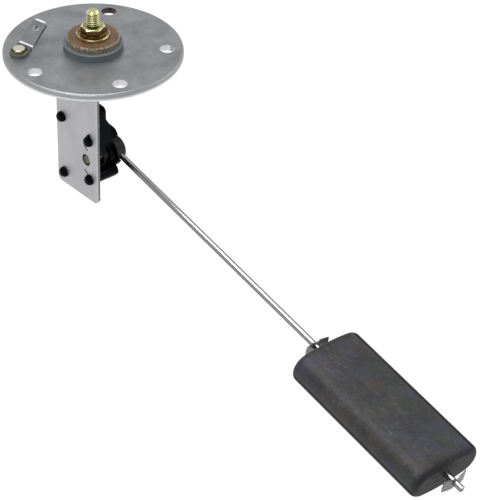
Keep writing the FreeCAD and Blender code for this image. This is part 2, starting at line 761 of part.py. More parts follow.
def resistor_housing():
    """The moulding: base, tongue, fan-shaped chamber, bosses, bearing and staked pegs."""
    body = new_body("resistor_housing")
    right = size.case_right
    lower_boss = (pegs[3][0] + size.lower_boss_step, pegs[3][1] + size.lower_boss_step)
    upper_boss = (pegs[2][0] + size.upper_boss_aside, pegs[2][1] + size.upper_boss_up)
    lean = size.lower_boss_dia / 2 * cosine(45)

    base = new_sketch(body, "XZ_Plane", plate_back)
    add_outline(base, [
        (size.case_left, shoulder),
        (size.tongue_left, shoulder),
        (size.tongue_left, -size.tongue_drop),
        (right, -size.tongue_drop),
        (right, pegs[2][1]),
        (lower_boss[0] + lean, lower_boss[1] - lean),
        (pegs[3][0] + lean, pegs[3][1] - lean),
        (pegs[1][0], case_foot),
        (size.case_left, case_foot),
    ])
    pad(body, base, size.case_base)
    ears = [
        numbers(size.case_left, shoulder),
        numbers(size.tongue_left, -size.tongue_drop),
        numbers(size.case_left, case_foot),
    ]
    ease(body, size.ear_round, straight_at("Y", ears))
    tongue_corner = numbers(right, -size.tongue_drop)
    ease(body, size.tongue_round, straight_at("Y", [tongue_corner]))

    chamber = new_sketch(body, "XZ_Plane", plate_back)
    upper, lower = fan(size.case_radius, size.case_half_angle)
    boss_radius = size.upper_boss_dia / 2
    add_outline(chamber, [
        upper,
        lower,
        (pegs[3][0] + lean, pegs[3][1] - lean),
        (lower_boss[0] + lean, lower_boss[1] - lean),
        (lower_boss[0] - lean, lower_boss[1] + lean),
        (upper_boss[0], upper_boss[1] - boss_radius),
        (upper_boss[0], upper_boss[1] + boss_radius),
    ], {0: (size.case_radius, pivot)})
    pad(body, chamber, size.case_depth)
    bosses = new_sketch(body, "XZ_Plane", plate_back)
    add_circle(bosses, upper_boss, boss_radius)
    pad(body, bosses, size.case_depth)
    for centre in (lower_boss, pegs[3]):
        stop = new_sketch(body, "XZ_Plane", plate_back)
        add_circle(stop, centre, size.lower_boss_dia / 2)
        pad(body, stop, size.case_depth)

    gusset = new_sketch(body, "YZ_Plane", right - size.gusset_width)
    base_top = plate_back + size.case_base
    gusset_top = upper_boss[1] + size.gusset_above_boss
    add_outline(gusset, [
        (plate_back, gusset_top),
        (base_top, gusset_top),
        (base_top + size.gusset_depth, gusset_top - size.gusset_slope),
        (base_top + size.gusset_depth, upper_boss[1]),
        (plate_back, upper_boss[1]),
    ])
    pad(body, gusset, size.gusset_width)

    window_top, window_low = pivot[1] + size.window_above, pivot[1] - size.window_below
    wall = size.case_wall
    far = right + 1
    chamber_top, chamber_low = fan(size.case_radius - wall, size.case_half_angle - 2)
    hollow = new_sketch(body, "XZ_Plane", plate_back)
    boss_left = upper_boss[0] - boss_radius
    add_outline(hollow, [
        chamber_top,
        chamber_low,
        (pegs[3][0] - size.lower_boss_dia * 0.7, pegs[3][1] - wall / 2),
        (pegs[3][0] - size.lower_boss_dia * 0.7, window_low),
        (far, window_low),
        (far, window_top),
        (boss_left - wall / 2, window_top),
        (boss_left - wall / 2, upper_boss[1] + boss_radius - wall),
    ], {0: (size.case_radius - wall, pivot)})
    pocket(body, hollow, size.case_depth - wall)
    opening = new_sketch(body, "XZ_Plane", case_front)
    add_box(opening, (pivot[0], window_low), (far, window_top))
    pocket(body, opening, wall, toward=-1)

    bearing = new_sketch(body, "XZ_Plane", bearing_back)
    add_circle(bearing, pivot, size.bearing_dia / 2)
    pad(body, bearing, size.bearing_length)
    bore = new_sketch(body, "XZ_Plane", bearing_back)
    add_circle(bore, pivot, pin_radius + size.running_gap)
    pocket(body, bore, size.bearing_length)

    relief = new_sketch(body, "XZ_Plane", plate_back)
    half = size.spring_width / 2 + size.peg_gap * 2
    add_box(relief, (pivot[0] - half, window_top - 0.2),
            (pivot[0] + half, spring_feet[0] + size.tab_wide / 2))
    add_box(relief, (pivot[0] - half, spring_feet[1] - size.tab_wide / 2),
            (pivot[0] + half, window_low + 0.2))
    pocket(body, relief, size.case_depth * 0.4)
    channel = new_sketch(body, "XZ_Plane", plate_back)
    add_box(channel, (lead_left - size.peg_gap, lead_end),
            (lead_right + size.peg_gap, -size.tongue_drop))
    pocket(body, channel, lead_plane + size.peg_gap - plate_back)

    for angle in (180 - size.post_half_angle, 180 + size.post_half_angle):
        post = new_sketch(body, "XZ_Plane", case_inside)
        add_circle(post, around(pivot, size.card_radius, angle), size.post_dia / 2)
        pad(body, post, case_inside - card_back_level, toward=-1)
    groove = new_sketch(body, "XZ_Plane", card_front_level + size.seat_gap)
    thick = size.card_thick / 2 + size.seat_gap
    add_arc_strip(groove, size.card_radius - thick, size.card_radius + thick,
                  size.card_half_angle + 0.2)
    pocket(body, groove, size.card_depth + 1, toward=-1)

    stems = new_sketch(body, "XZ_Plane", plate_back)
    heads = new_sketch(body, "XZ_Plane", plate_front)
    for place in pegs:
        add_circle(stems, place, size.peg_dia / 2)
        add_circle(heads, place, size.peg_head_dia / 2)
    pad(body, stems, size.sheet_thick, toward=-1)
    pad(body, heads, size.peg_head_thick, toward=-1)
    head_end = plate_front - size.peg_head_thick
    bevel_twice(body, "Y", head_end, 1, size.peg_head_bevel, size.peg_head_ease)
    nib = new_sketch(body, "XZ_Plane", plate_front)
    head = size.peg_head_dia / 2
    add_outline(nib, [
        (pegs[2][0] - head * 0.4, pegs[2][1] + head * 0.7),
        (pegs[2][0] + head * 0.4, pegs[2][1] + head * 0.7),
        (pegs[2][0], pegs[2][1] + head * 1.5),
    ])
    pad(body, nib, size.peg_head_thick / 2, toward=-1)


def resistor_card():
    """The curved insulating card that the resistance wire is wound on."""
    body = new_body("resistor_card")
    face = new_sketch(body, "XZ_Plane", card_back_level)
    half = size.card_thick / 2
    add_arc_strip(face, size.card_radius - half, size.card_radius + half, size.card_half_angle)
    pad(body, face, size.card_depth)


def resistance_winding():
    """The layer of fine wire round the card, as one sleeve."""
    body = new_body("resistance_winding")
    face = new_sketch(body, "XZ_Plane", wire_back_level)
    cover = size.card_thick / 2 + size.wire_cover
    add_arc_strip(face, size.card_radius - cover, size.card_radius + cover, size.wire_half_angle)
    pad(body, face, wire_front_level - wire_back_level)
    inside = new_sketch(body, "XZ_Plane", card_back_level - size.seat_gap)
    room = size.card_thick / 2 + size.seat_gap
    add_arc_strip(inside, size.card_radius - room, size.card_radius + room,
                  size.wire_half_angle + 1)
    pocket(body, inside, size.card_depth + 2 * size.seat_gap)


def ground_spring():
    """Bowed strip that presses on the clip and grounds the arm to the bracket."""
    body = new_body("ground_spring")
    thin = size.spring_thick
    crown = clip_back - size.wiper_gap
    heel = plate_back + size.peg_gap
    side = new_sketch(body, "YZ_Plane", pivot[0])
    top, low = spring_feet
    near_top, near_low = pivot[1] + size.spring_crown, pivot[1] - size.spring_crown
    half = thin / 2
    end = size.tab_wide * 0.4
    add_outline(side, [
        (heel, top + end),
        (heel + thin, top + end),
        (heel + thin, top - half),
        (crown, near_top),
        (crown, near_low),
        (heel + thin, low + half),
        (heel + thin, low - end),
        (heel, low - end),
        (heel, low + half),
        (crown - thin, near_low + half),
        (crown - thin, near_top - half),
        (heel, top - half),
    ])
    pad(body, side, size.spring_width, both_ways=True)
    hole = new_sketch(body, "XZ_Plane", plate_front)
    add_circle(hole, pivot, pin_radius + size.hub_gap)
    pocket(body, hole, size.case_depth)
    tabs = new_sketch(body, "XZ_Plane", plate_front + size.pin_recess)
    for foot in spring_feet:
        add_outline(tabs, slanted_box((pivot[0], foot), 0))
    pad(body, tabs, heel + half - plate_front - size.pin_recess)


def pivot_pin():
    """Brass pin, fixed in the rotor, that turns in the housing's bearing."""
    body = new_body("pivot_pin")
    side = new_sketch(body, "XY_Plane")
    back = plate_front + size.pin_recess
    nick = size.pin_dia / 12
    groove = size.clip_groove_dia / 2
    add_outline(side, [
        (0, back),
        (pin_radius - nick, back),
        (pin_radius, back + nick),
        (pin_radius, clip_back - size.seat_gap),
        (groove, clip_back - size.seat_gap),
        (groove, clip_front + size.seat_gap),
        (pin_radius, clip_front + size.seat_gap),
        (pin_radius, hub_front - nick),
        (pin_radius - nick, hub_front),
        (0, hub_front),
    ])
    spin(body, side)
    put_on_arm(body)


def retaining_clip():
    """Open clip in the pin's groove that keeps the rotor on the housing."""
    body = new_body("retaining_clip")
    face = new_sketch(body, "XZ_Plane", clip_back)
    add_circle(face, (0, 0), size.clip_dia / 2)
    add_circle(face, (0, 0), size.clip_groove_dia / 2 + size.seat_gap)
    pad(body, face, size.clip_thick)
    mouth = new_sketch(body, "XZ_Plane", clip_back)
    half = size.clip_groove_dia / 2 * 0.8
    add_box(mouth, (-half, 0), (half, size.clip_dia))
    pocket(body, mouth, size.clip_thick)
    put_on_arm(body)


def wiper_contact():
    """Spring contact on the pin: an eye and a blade that slopes to the winding."""
    body = new_body("wiper_contact")
    eye = new_sketch(body, "XZ_Plane", wiper_back)
    add_circle(eye, (0, 0), size.wiper_eye_dia / 2)
    pad(body, eye, size.wiper_thick)
    blade = new_sketch(body, "XY_Plane")
    touch = wire_front_level + size.seat_gap * 3
    reach = size.card_radius
    bend = reach * 0.5
    thin = size.wiper_thick
    add_outline(blade, [
        (-size.wiper_eye_dia / 3, wiper_back),
        (-bend, wiper_back),
        (-reach, touch),
        (-reach - 2 * thin, touch + thin),
        (-reach - 2 * thin, touch + 2 * thin),
        (-reach, touch + thin),
        (-bend, wiper_front),
        (-size.wiper_eye_dia / 3, wiper_front),
    ])
    pad(body, blade, size.wiper_width, both_ways=True)
    hole = new_sketch(body, "XZ_Plane", wiper_back)
    add_circle(hole, (0, 0), pin_radius + size.seat_gap)
    pocket(body, hole, size.wiper_thick)
    put_on_arm(body)


def rotor_hub():
    """The moulded rotor: a flanged boss with an open channel that the rod lies in."""
    body = new_body("rotor_hub")
    boss = new_sketch(body, "XZ_Plane", hub_back)
    add_circle(boss, (0, 0), size.hub_dia / 2)
    pad(body, boss, size.hub_depth)
    rim = new_sketch(body, "XZ_Plane", hub_back)
    add_circle(rim, (0, 0), size.hub_flange_dia / 2)
    pad(body, rim, size.hub_flange_thick)
    ease(body, size.hub_bevel, rings_at("Y", hub_front.number), "PartDesign::Chamfer")
    room = rod_radius + size.seat_gap
    level = size.arm_level
    trench = new_sketch(body, "YZ_Plane", size.rod_start)
    add_box(trench, (hub_back - 1, -room), (level, room))
    pocket(body, trench, size.hub_flange_dia)
    seat = new_sketch(body, "YZ_Plane", size.rod_start)
    add_circle(seat, (level, 0), room)
    pocket(body, seat, size.hub_flange_dia)
    holes = new_sketch(body, "XZ_Plane", hub_back)
    add_circle(holes, (0, 0), pin_radius + size.seat_gap)
    pocket(body, holes, size.hub_depth)
    put_on_arm(body)


def float_rod():
    body = new_body("float_rod")
    face = new_sketch(body, "YZ_Plane", size.rod_start)
    add_circle(face, (size.arm_level, 0), rod_radius)
    pad(body, face, rod_end - size.rod_start)
    ease(body, size.rod_tip_bevel, rings_at("X", rod_end.number), "PartDesign::Chamfer")
    put_on_arm(body)


def float_block():
    """The moulded foam float: a flat oval block with rounded ends and a hole for the rod."""
    body = new_body("float")
    half_width, half_thick = size.float_width / 2, size.float_thick / 2
    side = size.float_side_round
    middle = size.arm_level
    # four arcs that meet smoothly: a tight one at each side, a wide one above and below
    reach = half_width - side
    wide = (reach * reach + half_thick * half_thick - side * side) / (2 * (half_thick - side))
    span = wide - side
    across = wide * reach / span
    up = side * (wide - half_thick) / span
    centres = (wide - half_thick, reach)
    face = new_sketch(body, "YZ_Plane", size.float_start)
    add_outline(face, [
        (middle - across, up),
        (middle - across, -up),
        (middle + across, -up),
        (middle + across, up),
    ], {
        0: (side, (middle - centres[1], 0)),
        1: (wide, (middle, centres[0])),
        2: (side, (middle + centres[1], 0)),
        3: (wide, (middle, -centres[0])),
    })
    pad(body, face, size.float_length)
    levels = numbers(size.float_start, float_end)

    def at_end(edge):
        box = edge.BoundBox
        return box.XLength < size.seat_gap.number and min(abs(box.XMin - x) for x in levels) < 0.01
    ease(body, size.float_edge_round, at_end)
    hole = new_sketch(body, "YZ_Plane", size.float_start)
    add_circle(hole, (middle, 0), rod_radius + size.seat_gap)
    pocket(body, hole, size.float_length)
    put_on_arm(body)


def push_nut(name, level, away):
    """Arched bow-tie spring nut pushed on the rod. away is 1 where its ends lean up the arm."""
    body = new_body(name)
    half, bow = size.push_nut_length / 2, size.push_nut_bow
    middle = size.arm_level
    inner = (half * half + bow * bow) / (2 * bow)
    outer = inner + size.push_nut_thick
    centre = (level + away * (inner - bow), middle)
    side = new_sketch(body, "XY_Plane")
    spread = half * outer / inner
    outer_end = level + away * (inner - bow) * (1 - outer / inner)
    add_outline(side, [
        (level, middle + half),
        (level, middle - half),
        (outer_end, middle - spread),
        (outer_end, middle + spread),
    ], {0: (inner, centre), 2: (outer, centre)})
    pad(body, side, size.push_nut_width, both_ways=True)
    cut = new_sketch(body, "YZ_Plane", level)
    edge = size.push_nut_width / 2
    for sign in (-1, 1):
        add_outline(cut, [
            (middle - half * 0.7, sign * (edge + 1)),
            (middle, sign * size.push_nut_waist / 2),
            (middle + half * 0.7, sign * (edge + 1)),
        ])
    add_circle(cut, (middle, 0), rod_radius + size.seat_gap)
    pocket(body, cut, size.push_nut_length, both_ways=True)
    put_on_arm(body)


def build():
    flange_plate()
    bracket_plate()
    terminal_stack()
    terminal_nut()
    terminal_stud()
    ground_terminal()
    ground_screw()
    lead_strip()
    resistor_housing()
    resistor_card()
    resistance_winding()
    ground_spring()
    pivot_pin()
    retaining_clip()
    wiper_contact()
    rotor_hub()
    float_rod()
    float_block()
    push_nut("inner_push_nut", size.float_start - size.push_nut_gap, 1)
    push_nut("outer_push_nut", float_end + size.push_nut_gap, -1)


def checked_shapes():
    """The finished shape of each piece, after making sure that nothing failed."""
    doc.recompute()
    for item in doc.Objects:
        if "Invalid" in item.State or "Error" in item.State:
            raise RuntimeError("%s did not build: %s" % (item.Label, item.State))
    shapes = {}
    for piece in pieces:
        shape = piece.Shape
        if shape.isNull() or not shape.isValid() or not shape.Solids:
            raise RuntimeError(piece.Label + " has no sound shape")
        shapes[piece.Label] = shape
    return shapes


build()
os.makedirs("parts", exist_ok=True)
for label, shape in checked_shapes().items():
    shape.exportStep(os.path.join("parts", label + ".step"))
    print(label, round(shape.Volume, 1), len(shape.Solids))
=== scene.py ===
import math
import bpy
from mathutils import Matrix, Vector


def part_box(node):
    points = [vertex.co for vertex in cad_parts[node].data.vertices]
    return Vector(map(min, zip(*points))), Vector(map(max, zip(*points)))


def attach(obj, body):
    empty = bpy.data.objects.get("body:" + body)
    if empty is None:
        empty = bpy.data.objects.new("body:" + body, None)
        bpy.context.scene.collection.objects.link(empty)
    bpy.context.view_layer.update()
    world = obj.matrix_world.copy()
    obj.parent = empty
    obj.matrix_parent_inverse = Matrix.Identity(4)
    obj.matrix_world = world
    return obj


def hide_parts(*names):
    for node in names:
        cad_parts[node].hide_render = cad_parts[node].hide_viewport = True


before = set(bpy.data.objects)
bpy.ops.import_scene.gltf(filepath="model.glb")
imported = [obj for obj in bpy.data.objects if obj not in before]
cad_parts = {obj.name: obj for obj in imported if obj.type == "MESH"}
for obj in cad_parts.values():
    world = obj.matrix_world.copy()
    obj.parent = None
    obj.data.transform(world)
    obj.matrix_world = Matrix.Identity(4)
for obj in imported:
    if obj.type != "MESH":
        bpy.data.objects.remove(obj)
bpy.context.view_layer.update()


# Mounting flange: a disc blanked from aluminium plate, its top edge rolled over in the
# press. Five plain screw holes take the screws into the tank, and the middle one the stud.
# Here and below, radii and heights round an axis are in millimetres, and places in metres.
FLANGE_RIM_FROM = 32.0
FLANGE_RIM_TO = 32.3
# The rim is painted grey above the first height and pale below the second, in millimetres: a painted
# reflection of the floor.
FLANGE_GREY_ABOVE = 0.9
FLANGE_PAINTED_REFLECTION_BELOW = 0.5
FLANGE_MIDDLE = 0.0012
HOLE_RING = 0.027
HOLE_REACH = 0.00303
PAINTED_BRIGHT_WALL = "#E4E4E6"
STAINED_WALL = "#5E4D50"
# Each hole's angle round the stud, in degrees, and the colour of its wall: a pale painted reflection, or a
# real brown stain.
HOLES = ((-87.3, PAINTED_BRIGHT_WALL), (-15.6, PAINTED_BRIGHT_WALL), (51.0, PAINTED_BRIGHT_WALL), (194.0, PAINTED_BRIGHT_WALL),
         (131.3, STAINED_WALL))

MM_PER_M = 1000
FLAT = (1, 1, 0)

# The kinds of node that nearly every finish needs, and the sockets of a mix of two colours.
NOISE = "ShaderNodeTexNoise"
RANGE = "ShaderNodeMapRange"
MATH = "ShaderNodeMath"
VECTOR_MATH = "ShaderNodeVectorMath"
MAPPING = "ShaderNodeMapping"
BUMP = "ShaderNodeBump"
MIX = "ShaderNodeMix"
COLOURS = {"data_type": "RGBA"}
SHARE, UNDER, OVER = 0, 6, 7


def linear(code):
    """A colour written as sRGB hex, as the four linear values that a socket takes."""
    parts = [int(code[k:k + 2], 16) / 255 for k in (1, 3, 5)]
    return [c / 12.92 if c <= 0.04045 else ((c + 0.055) / 1.055) ** 2.4 for c in parts] + [1]


def per_metre(size_mm):
    """The texture scale that makes one cell of a pattern this many millimetres wide."""
    return MM_PER_M / size_mm


def link_in(tree, node, links):
    """Links sources into a node's sockets. A node as source gives its first socket in use."""
    for socket, source in links.items():
        if isinstance(source, bpy.types.Node):
            source = next(output for output in source.outputs if output.enabled)
        tree.links.new(source, node.inputs[socket])


def add_node(tree, kind, settings=None, values=None, links=None):
    """A node with its settings, the values of its sockets and what is linked into them."""
    node = tree.nodes.new(kind)
    for name, value in (settings or {}).items():
        setattr(node, name, value)
    for socket, value in (values or {}).items():
        node.inputs[socket].default_value = value
    link_in(tree, node, links or {})
    return node


def start_finish(name, values):
    """A new material with its shader, and the object's own coordinates to draw from."""
    material = bpy.data.materials.new(name)
    material.use_nodes = True
    tree = material.node_tree
    tree.nodes.clear()
    shader = add_node(tree, "ShaderNodeBsdfPrincipled", values=values)
    add_node(tree, "ShaderNodeOutputMaterial", links={"Surface": shader})
    place = add_node(tree, "ShaderNodeTexCoord").outputs["Object"]
    return material, tree, shader, place


def dress(material, *names):
    """Gives CAD nodes their finish."""
    for name in names:
        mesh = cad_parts[name].data
        mesh.materials.clear()
        mesh.materials.append(material)


def two_tones(tree, place, size, tones, detail=3, roughness=0.5, spread=(0, 1)):
    """A cloudy pattern with cells of size millimetres, and the two tones that it mixes."""
    cloud = add_node(tree, NOISE, links={"Vector": place}, values={
        "Scale": per_metre(size), "Detail": detail, "Roughness": roughness})
    share = add_node(tree, RANGE, values={"From Min": spread[0], "From Max": spread[1]},
                     links={"Value": cloud})
    colour = add_node(tree, MIX, COLOURS, {UNDER: linear(tones[0]), OVER: linear(tones[1])}, {SHARE: share})
    return cloud, colour


def round_an_axis(tree, place, middle=(0, 0, 0)):
    """A point's distance from an upright axis and its height above middle, in millimetres."""
    scaled = add_node(tree, VECTOR_MATH, {"operation": "SCALE"}, {"Scale": MM_PER_M}, {0: place})
    centred = add_node(tree, VECTOR_MATH, {"operation": "SUBTRACT"}, {1: middle}, {0: scaled})
    flat = add_node(tree, VECTOR_MATH, {"operation": "MULTIPLY"}, {1: FLAT}, {0: centred})
    radius = add_node(tree, VECTOR_MATH, {"operation": "LENGTH"}, links={0: flat})
    height = add_node(tree, "ShaderNodeSeparateXYZ", links={"Vector": centred}).outputs["Z"]
    return radius, height


def tumbled_aluminium():
    """A little cloudy and finely pitted, with a painted reflection of the floor that makes the lower part of
    its rim paler.

    The walls of four screw holes are painted pale as a painted reflection, and one wall is stained brown.
    """
    material, tree, shader, place = start_finish("tumbled aluminium plate", {"Metallic": 1.0})
    face = two_tones(tree, place, 9, ("#97999D", "#B3B5B7"),
                     detail=6, roughness=0.66, spread=(0.34, 0.66))[1]
    pits = add_node(tree, NOISE, values={"Scale": per_metre(0.9), "Detail": 2, "Roughness": 0.8},
                    links={"Vector": place})
    pitted = add_node(tree, RANGE, values={"From Min": 0.6, "From Max": 0.72, "To Max": 0.5},
                      links={"Value": pits})
    worn = add_node(tree, MIX, COLOURS, {OVER: linear("#77797A")}, {SHARE: pitted, UNDER: face})
    radius, height = round_an_axis(tree, place)
    rim = add_node(tree, RANGE, values={"From Min": FLANGE_RIM_FROM, "From Max": FLANGE_RIM_TO},
                   links={"Value": radius})
    low = add_node(tree, RANGE, values={"From Min": FLANGE_GREY_ABOVE, "From Max": FLANGE_PAINTED_REFLECTION_BELOW},
                   links={"Value": height})
    # Painted reflection: the rim turns from grey to pale towards its bottom.
    edge = add_node(tree, MIX, COLOURS, {UNDER: linear("#A4A6A8"), OVER: linear("#E0E1E2")}, {SHARE: low})
    whole = add_node(tree, MIX, COLOURS, links={SHARE: rim, UNDER: worn, OVER: edge})
    # Hole walls: a painted reflection in four, a stain in one.
    for angle, code in HOLES:
        turn = math.radians(angle)
        middle = (HOLE_RING * math.cos(turn), HOLE_RING * math.sin(turn), FLANGE_MIDDLE)
        away = add_node(tree, VECTOR_MATH, {"operation": "DISTANCE"}, {1: middle}, {0: place})
        wall = add_node(tree, MATH, {"operation": "LESS_THAN"}, {1: HOLE_REACH}, {0: away})
        whole = add_node(tree, MIX, COLOURS, {OVER: linear(code)}, {SHARE: wall, UNDER: whole})
    grain = add_node(tree, NOISE, values={"Scale": per_metre(0.45), "Detail": 3, "Roughness": 0.7},
                     links={"Vector": place})
    dull = add_node(tree, RANGE, values={"From Min": 0.3, "From Max": 0.7, "To Min": 0.36, "To Max": 0.5},
                    links={"Value": grain})
    coarse = add_node(tree, BUMP, values={"Strength": 0.6, "Distance": 0.00006}, links={"Height": pits})
    fine = add_node(tree, BUMP, values={"Strength": 0.35, "Distance": 0.00004},
                    links={"Height": grain, "Normal": coarse})
    link_in(tree, shader, {"Base Color": whole, "Roughness": dull, "Normal": fine})
    return material


dress(tumbled_aluminium(), "flange_plate")


# Bracket: one strip of sheet aluminium, bent to a foot under the flange and an upright
# plate. The heads of the housing's pegs are staked over its outer face.
SHEARED_FROM = 0.01195
TORN_FROM = -0.0076
TORN_TO = -0.0073
ROLLING_STRETCH = (1, 1, 0.06)


def rolled_sheet():
    """Mill finish: a paler, flatter grey than the flange, with faint rolling lines.

    The sheared end is bright where the blade cut, and ragged and dark where the metal tore.
    """
    material, tree, shader, place = start_finish("mill finish aluminium sheet", {"Metallic": 1.0})
    along = add_node(tree, MAPPING, values={"Scale": ROLLING_STRETCH}, links={"Vector": place})
    lines = add_node(tree, NOISE, values={"Scale": per_metre(0.5), "Detail": 3, "Roughness": 0.6},
                     links={"Vector": along})
    cloud = add_node(tree, NOISE, values={"Scale": per_metre(14), "Detail": 3}, links={"Vector": place})
    both = add_node(tree, MATH, {"operation": "ADD"}, links={0: lines, 1: cloud})
    spread = add_node(tree, RANGE, values={"From Min": 0.75, "From Max": 1.25}, links={"Value": both})
    face = add_node(tree, MIX, COLOURS, {UNDER: linear("#B8B8BA"), OVER: linear("#C6C6C9")}, {SHARE: spread})
    spot = add_node(tree, "ShaderNodeSeparateXYZ", links={"Vector": place}).outputs
    end = add_node(tree, MATH, {"operation": "GREATER_THAN"}, {1: SHEARED_FROM}, {0: spot["X"]})
    torn = add_node(tree, RANGE, values={"From Min": TORN_FROM, "From Max": TORN_TO},
                    links={"Value": spot["Y"]})
    ragged = two_tones(tree, place, 0.8, ("#505052", "#A6A6A8"), detail=2)[1]
    sheared = add_node(tree, MIX, COLOURS, {UNDER: linear("#D2D2D4")}, {SHARE: torn, OVER: ragged})
    whole = add_node(tree, MIX, COLOURS, links={SHARE: end, UNDER: face, OVER: sheared})
    dull = add_node(tree, RANGE, values={"To Min": 0.42, "To Max": 0.58}, links={"Value": lines})
    bump = add_node(tree, BUMP, values={"Strength": 0.2, "Distance": 0.00003}, links={"Height": lines})
    link_in(tree, shader, {"Base Color": whole, "Roughness": dull, "Normal": bump})
    return material


dress(rolled_sheet(), "bracket_plate")


# Seal: a thick nitrile rubber washer, moulded, squeezed between the flange and the
# insulating washer. Slate blue-grey and matt, with a painted highlight along the top of its round outer edge.
SEAL_EDGE_RADIUS = 10.68
SEAL_HIGHLIGHT_FROM = 4.83
SEAL_HIGHLIGHT_TO = 4.93


def nitrile_rubber():
    material, tree, shader, place = start_finish("nitrile rubber", {
        "Roughness": 0.6, "Specular IOR Level": 0.35})
    slate = two_tones(tree, place, 3, ("#606869", "#757E82"), detail=4)[1]
    radius, height = round_an_axis(tree, place)
    outer = add_node(tree, MATH, {"operation": "GREATER_THAN"}, {1: SEAL_EDGE_RADIUS}, {0: radius})
    upper = add_node(tree, RANGE, links={"Value": height}, values={
        "From Min": SEAL_HIGHLIGHT_FROM, "From Max": SEAL_HIGHLIGHT_TO, "To Max": 0.4})
    edge = add_node(tree, MATH, {"operation": "MULTIPLY"}, links={0: outer, 1: upper})
    # Painted highlight on the upper outer edge.
    edge_highlight = add_node(tree, MIX, COLOURS, {OVER: linear("#99A3A8")}, {SHARE: edge, UNDER: slate})
    grain = add_node(tree, NOISE, values={"Scale": per_metre(0.3), "Detail": 2}, links={"Vector": place})
    bump = add_node(tree, BUMP, values={"Strength": 0.3, "Distance": 0.00004}, links={"Height": grain})
    link_in(tree, shader, {"Base Color": edge_highlight, "Normal": bump})
    return material


dress(nitrile_rubber(), "stud_seal")


# Insulating washer and the shouldered insulator below: turned from paper laminate that is
# bound with phenolic resin. Brown and glossy on the face, and its cut edge shows the
# paper's pale layers as fine specks.
LAMINATE_EDGE_FROM = 9.25
LAMINATE_EDGE_TO = 9.4


def paper_phenolic():
    material, tree, shader, place = start_finish("paper phenolic laminate", {"Roughness": 0.34})
    brown = two_tones(tree, place, 4, ("#5C4A37", "#755B41"),
                      detail=4, roughness=0.6, spread=(0.35, 0.65))[1]
    rust = add_node(tree, NOISE, values={"Scale": per_metre(7), "Detail": 3}, links={"Vector": place})
    rusty = add_node(tree, RANGE, values={"From Min": 0.5, "From Max": 0.66, "To Max": 0.7},
                     links={"Value": rust})
    face = add_node(tree, MIX, COLOURS, {OVER: linear("#865B38")}, {SHARE: rusty, UNDER: brown})
    specks, edge = two_tones(tree, place, 0.55, ("#51442F", "#B3A88C"),
                             detail=2, roughness=0.7, spread=(0.42, 0.58))
    radius = round_an_axis(tree, place)[0]
    cut = add_node(tree, RANGE, values={"From Min": LAMINATE_EDGE_FROM, "From Max": LAMINATE_EDGE_TO},
                   links={"Value": radius})
    whole = add_node(tree, MIX, COLOURS, links={SHARE: cut, UNDER: face, OVER: edge})
    bump = add_node(tree, BUMP, values={"Strength": 0.3, "Distance": 0.00005}, links={"Height": specks})
    link_in(tree, shader, {"Base Color": whole, "Normal": bump})
    return material


dress(paper_phenolic(), "insulating_washer", "lower_insulator")


# Terminal nut and cup washer: steel, zinc plated and passivated yellow. The coat varies
# from lemon to bronze, and the washer under the nut is the darker, redder one. The nut's top is
# painted lit, with a painted highlight on its bevel, and its sides are painted darker as shade.
NUT_SIDES_BELOW = 11.3
NUT_FACE_ABOVE = 11.4
NUT_BEVEL_FROM = 3.5
NUT_BEVEL_TO = 3.7


def cloudy_metal(name, tones, roughness):
    """A metal of two tones under a fine grain, with what it takes to add marks to it."""
    material, tree, shader, place = start_finish(name, {"Metallic": 1.0, "Roughness": roughness})
    colour = two_tones(tree, place, 2.5, tones, roughness=0.6, spread=(0.38, 0.62))[1]
    grain = add_node(tree, NOISE, values={"Scale": per_metre(0.3), "Detail": 2}, links={"Vector": place})
    bump = add_node(tree, BUMP, values={"Strength": 0.25, "Distance": 0.00003}, links={"Height": grain})
    link_in(tree, shader, {"Base Color": colour, "Normal": bump})
    return material, tree, shader, place, colour


def nut_finish():
    material, tree, shader, place, lemon = cloudy_metal(
        "yellow passivated zinc", ("#A59A58", "#D6CF94"), 0.22)
    radius, height = round_an_axis(tree, place)
    # Painted highlight on the bevel round the top face.
    bevel = add_node(tree, RANGE, values={"From Min": NUT_BEVEL_FROM, "From Max": NUT_BEVEL_TO},
                     links={"Value": radius})
    crown = add_node(tree, MIX, COLOURS, {OVER: linear("#F2EEBE")}, {SHARE: bevel, UNDER: lemon})
    # Painted light and shade: the top face stays lit, and the sides below are painted darker.
    upper = add_node(tree, RANGE, values={"From Min": NUT_SIDES_BELOW, "From Max": NUT_FACE_ABOVE},
                     links={"Value": height})
    sides = two_tones(tree, place, 1.2, ("#665230", "#AE925E"))[1]
    whole = add_node(tree, MIX, COLOURS, links={SHARE: upper, UNDER: sides, OVER: crown})
    link_in(tree, shader, {"Base Color": whole})
    return material


dress(nut_finish(), "terminal_nut")
dress(cloudy_metal("bronzed passivated zinc", ("#94714A", "#C6C097"), 0.24)[0], "terminal_washer")


# Terminal stud: a machine screw put in from below, with its thread rolled. The turns show
# above the nut, so the thread is a real helix there, and inside the stack it has the plain
# root size that the model's solid has. Sizes are in millimetres.
STUD = {"root": 2.05, "crest": 2.38, "pitch": 0.8, "thread_from": 11.9, "chamfer": 0.9,
        "root_flat": 0.12, "flank": 0.72, "run_in": 0.64, "dark_to": 0.12, "pale_from": 0.24,
        "head": 4.1, "head_low": -6.0, "head_high": -3.6, "head_round": 0.5, "head_ease": 0.15}
STUD["tip"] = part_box("terminal_stud")[1][2] * MM_PER_M
AROUND = 64
ROWS_PER_TURN = 10
LEAST_ROW = 0.001
SMOOTH_BELOW = 0.6


